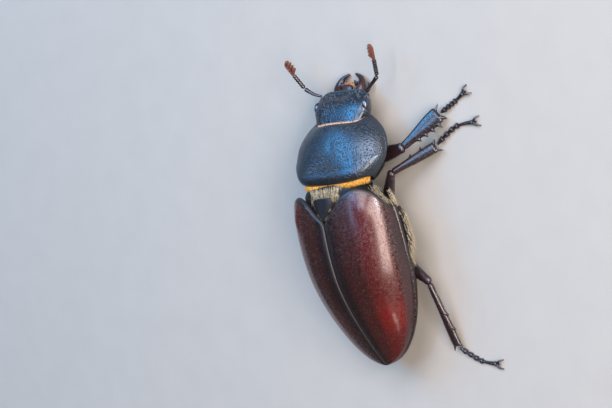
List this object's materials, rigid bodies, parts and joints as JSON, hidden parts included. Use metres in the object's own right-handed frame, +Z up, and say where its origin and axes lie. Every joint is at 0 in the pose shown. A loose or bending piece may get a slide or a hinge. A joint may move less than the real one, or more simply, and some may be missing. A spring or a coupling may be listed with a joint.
{
  "type": "female stag beetle",
  "caption": "Life-size still model of a female stag beetle, standing on its feet with lowered head, short curved jaws, elbowed feelers and chestnut wing cases.",
  "frame": {"origin": "on the floor, under the middle of the bounding box", "axes": "+Z up, head towards -Y, wing-case tips towards +Y, the right legs towards -X"},
  "size_m": [0.0348, 0.0436, 0.0105],
  "materials": {
    "shell_black": "black, finely punctured horn shell with a blue sheen from the sky",
    "elytra_chestnut": "dark chestnut, polished and very finely punctured wing cases",
    "limb_brown": "dark red-brown, punctured horn with golden hairs",
    "underside_brown": "blackish brown shell with a short golden pile",
    "eye_black": "glossy black, finely faceted",
    "club_brown": "red-brown with a fine grey felt"
  },
  "bodies": {
    "root": {"head": "shell_black", "labrum": "shell_black", "labium": "underside_brown", "eye_left": "eye_black", "mandible_left": "shell_black", "palp_left": "limb_brown", "antenna_left_scape": "limb_brown", "antenna_left_funicle": "limb_brown", "antenna_left_club": "club_brown", "eye_right": "eye_black", "mandible_right": "shell_black", "palp_right": "limb_brown", "antenna_right_scape": "limb_brown", "antenna_right_funicle": "limb_brown", "antenna_right_club": "club_brown", "pronotum": "shell_black", "prosternum": "underside_brown", "scutellum": "shell_black", "mesothorax": "underside_brown", "metathorax": "underside_brown", "abdomen": "underside_brown", "elytron_left": "elytra_chestnut", "elytron_right": "elytra_chestnut", "leg_front_right_coxa": "limb_brown", "leg_front_right_femur": "limb_brown", "leg_front_right_tibia": "limb_brown", "leg_front_right_tarsus": "limb_brown", "leg_front_right_claws": "limb_brown", "leg_front_left_coxa": "limb_brown", "leg_front_left_femur": "limb_brown", "leg_front_left_tibia": "limb_brown", "leg_front_left_tarsus": "limb_brown", "leg_front_left_claws": "limb_brown", "leg_middle_right_coxa": "limb_brown", "leg_middle_right_femur": "limb_brown", "leg_middle_right_tibia": "limb_brown", "leg_middle_right_tarsus": "limb_brown", "leg_middle_right_claws": "limb_brown", "leg_middle_left_coxa": "limb_brown", "leg_middle_left_femur": "limb_brown", "leg_middle_left_tibia": "limb_brown", "leg_middle_left_tarsus": "limb_brown", "leg_middle_left_claws": "limb_brown", "leg_hind_right_coxa": "limb_brown", "leg_hind_right_femur": "limb_brown", "leg_hind_right_tibia": "limb_brown", "leg_hind_right_tarsus": "limb_brown", "leg_hind_right_claws": "limb_brown", "leg_hind_left_coxa": "limb_brown", "leg_hind_left_femur": "limb_brown", "leg_hind_left_tibia": "limb_brown", "leg_hind_left_tarsus": "limb_brown", "leg_hind_left_claws": "limb_brown"}
  },
  "joints": []
}
